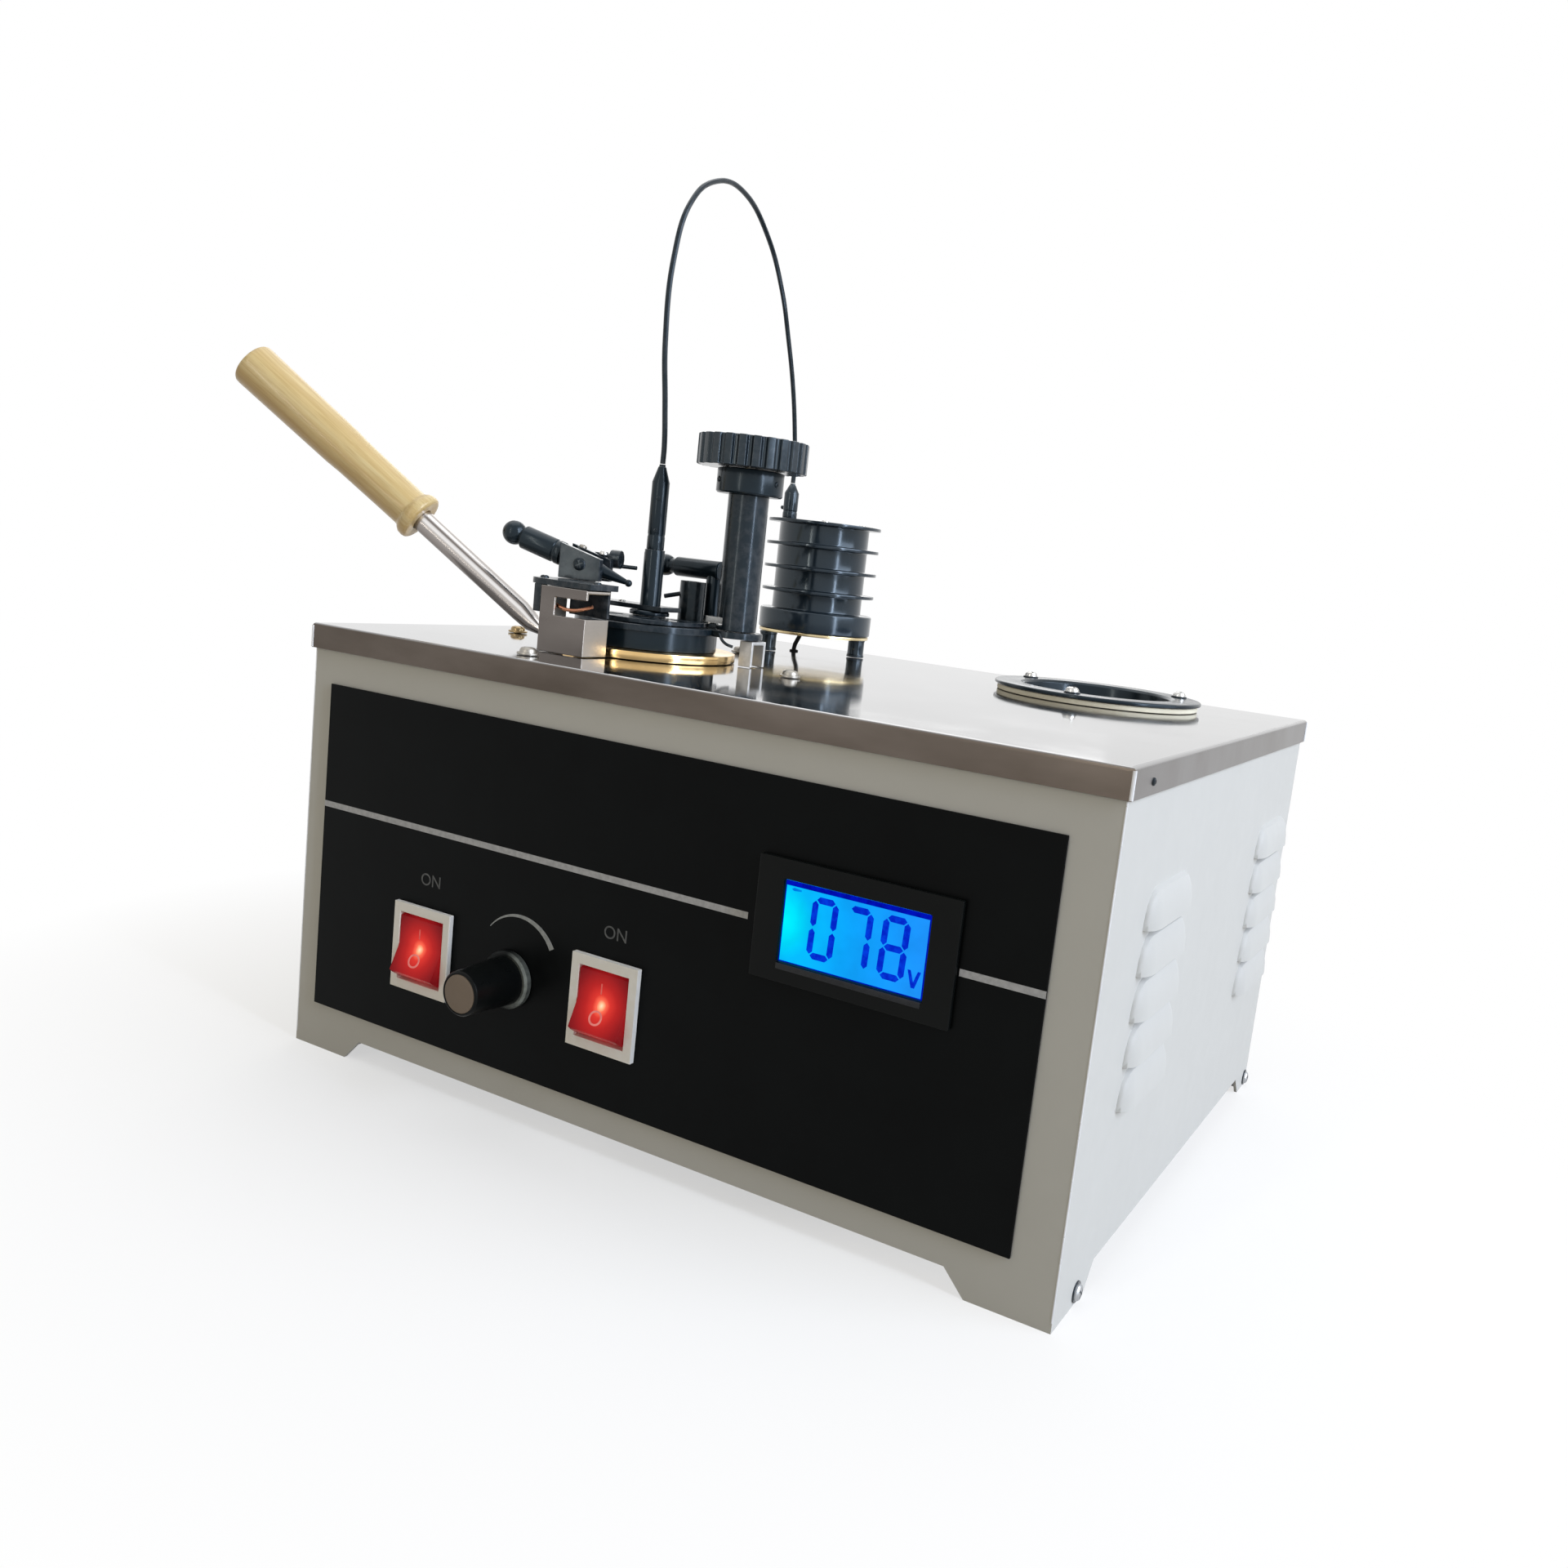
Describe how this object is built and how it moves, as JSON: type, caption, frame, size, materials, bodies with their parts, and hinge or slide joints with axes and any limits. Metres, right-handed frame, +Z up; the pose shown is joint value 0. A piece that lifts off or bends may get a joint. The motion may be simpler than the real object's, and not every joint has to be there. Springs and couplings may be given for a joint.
{
  "type": "flash point tester",
  "caption": "Closed-cup flash point tester: heated brass cup with lid, shutter knob, flame lamp and stirring motor on a steel-topped case with a display.",
  "frame": {"origin": "middle of the whole tester's bounding box in plan, at bench level", "axes": "+X to the right along the front, +Y to the back, +Z up"},
  "size_m": [0.46, 0.3392, 0.4304],
  "materials": {
    "painted_case": "warm light grey paint, semi-matt",
    "polished_steel": "bright stainless steel",
    "black_panel": "satin black overlay",
    "black_plastic": "satin",
    "display_window": "backlit blue",
    "ivory_plastic": "semi-gloss",
    "red_plastic": "translucent, lit from inside",
    "knob_cap": "satin tan grey",
    "brass": "machined, bright",
    "black_metal": "blue-black, satin",
    "plain_steel": "zinc plated, dull",
    "cast_block": "as cast",
    "pale_board": "pressed mineral fibre board",
    "tan_wood": "varnished",
    "circuit_board": "solder mask"
  },
  "bodies": {
    "housing": {"case_shell": "painted_case", "base_plate": "plain_steel", "rear_panel": "painted_case", "power_inlet": "black_plastic", "fuse_holder": "black_plastic", "top_cover": "polished_steel", "regulator_board": "circuit_board", "front_panel": "black_panel", "display_bezel": "black_plastic", "display_lens": "display_window", "stirrer_switch_frame": "ivory_plastic", "power_switch_frame": "ivory_plastic", "heat_pot": "plain_steel", "air_bath": "cast_block", "heater_element": "plain_steel", "insulation": "pale_board", "stove_screw_1": "brass", "stove_screw_2": "brass", "stove_screw_3": "brass", "stove_screw_4": "brass", "stove_shell": "plain_steel", "front_bracket": "polished_steel", "side_bracket": "polished_steel", "motor_leg_front": "black_metal", "motor_leg_rear": "black_metal", "motor_plate": "brass", "motor_housing": "black_metal", "motor_lead": "black_plastic", "well_gasket": "pale_board", "rest_well": "black_metal"},
    "cup_unit": {"cup": "brass", "handle_tube": "polished_steel", "handle_grip": "tan_wood"},
    "lid_unit": {"lid": "black_metal", "lid_bridge": "black_metal", "stirrer_bearing": "black_metal", "thermometer_collar": "black_metal", "clamp_pin": "black_metal", "column_tube": "black_metal", "column_collar": "black_metal", "return_spring": "plain_steel", "latch_plate": "black_metal", "flame_block": "black_metal", "pilot_jet": "black_metal", "pilot_lamp": "black_metal", "flexible_shaft": "black_metal"},
    "stirrer_unit": {"stirrer_coupling": "black_metal", "stirrer_shaft": "polished_steel"},
    "motor_rotor": {"motor_spindle": "plain_steel", "spindle_ferrule": "black_metal"},
    "knob_unit": {"shutter_knob": "black_metal", "shutter_rod": "plain_steel"},
    "shutter_unit": {"shutter": "black_metal"},
    "flame_unit": {"flame_lamp": "black_metal"},
    "valve_unit": {"flame_valve": "black_metal"},
    "heat_unit": {"heat_knob": "black_plastic", "heat_knob_cap": "knob_cap", "heat_pot_shaft": "plain_steel"},
    "stirrer_rocker_unit": {"stirrer_rocker": "red_plastic"},
    "power_rocker_unit": {"power_rocker": "red_plastic"}
  },
  "joints": [
    {"name": "cup_lift", "type": "slide", "parent": "housing", "child": "cup_unit", "axis": [0, 0, 1], "range_m": [0, 0.07]},
    {"name": "lid_lift", "type": "slide", "parent": "cup_unit", "child": "lid_unit", "axis": [0, 0, 1], "range_m": [0, 0.07]},
    {"name": "stirrer_spin", "type": "hinge", "parent": "lid_unit", "child": "stirrer_unit", "pos_m": [-0.04698, -0.04295, 0.2606], "axis": [0, 0, 1], "continuous": true},
    {"name": "motor_spin", "type": "hinge", "parent": "housing", "child": "motor_rotor", "pos_m": [-0.05917, 0.09455, 0.2806], "axis": [0, 0, 1], "continuous": true},
    {"name": "shutter_knob_turn", "type": "hinge", "parent": "lid_unit", "child": "knob_unit", "pos_m": [-0.00698, -0.02745, 0.2906], "axis": [0, 0, 1], "range_deg": [0, 50], "stiffness_Nm_per_rad": 0.06, "springref_deg": -17.19},
    {"name": "shutter_turn", "type": "hinge", "parent": "lid_unit", "child": "shutter_unit", "pos_m": [-0.04698, -0.04295, 0.2186], "axis": [0, 0, 1], "range_deg": [-28, 1]},
    {"name": "flame_dip", "type": "hinge", "parent": "lid_unit", "child": "flame_unit", "pos_m": [-0.06698, -0.06795, 0.2403], "axis": [-0.3305, 0.9438, 0], "range_deg": [-1, 21]},
    {"name": "flame_valve_turn", "type": "hinge", "parent": "lid_unit", "child": "valve_unit", "pos_m": [-0.064, -0.05949, 0.2456], "axis": [0, 0, 1], "range_deg": [0, 180]},
    {"name": "heat_knob_turn", "type": "hinge", "parent": "housing", "child": "heat_unit", "pos_m": [-0.02948, -0.15055, 0.064], "axis": [0, -1, 0], "range_deg": [-150, 150]},
    {"name": "stirrer_rocker_tilt", "type": "hinge", "parent": "housing", "child": "stirrer_rocker_unit", "pos_m": [-0.08027, -0.13705, 0.0643], "axis": [1, 0, 0], "range_deg": [0, 24]},
    {"name": "power_rocker_tilt", "type": "hinge", "parent": "housing", "child": "power_rocker_unit", "pos_m": [0.02252, -0.13705, 0.0657], "axis": [1, 0, 0], "range_deg": [0, 24]}
  ],
  "couplings": [
    {"joint": "stirrer_spin", "follows": "motor_spin", "ratio": -1},
    {"joint": "shutter_turn", "follows": "shutter_knob_turn", "ratio": -0.53575},
    {"joint": "flame_dip", "follows": "shutter_knob_turn", "ratio": 0.4}
  ]
}
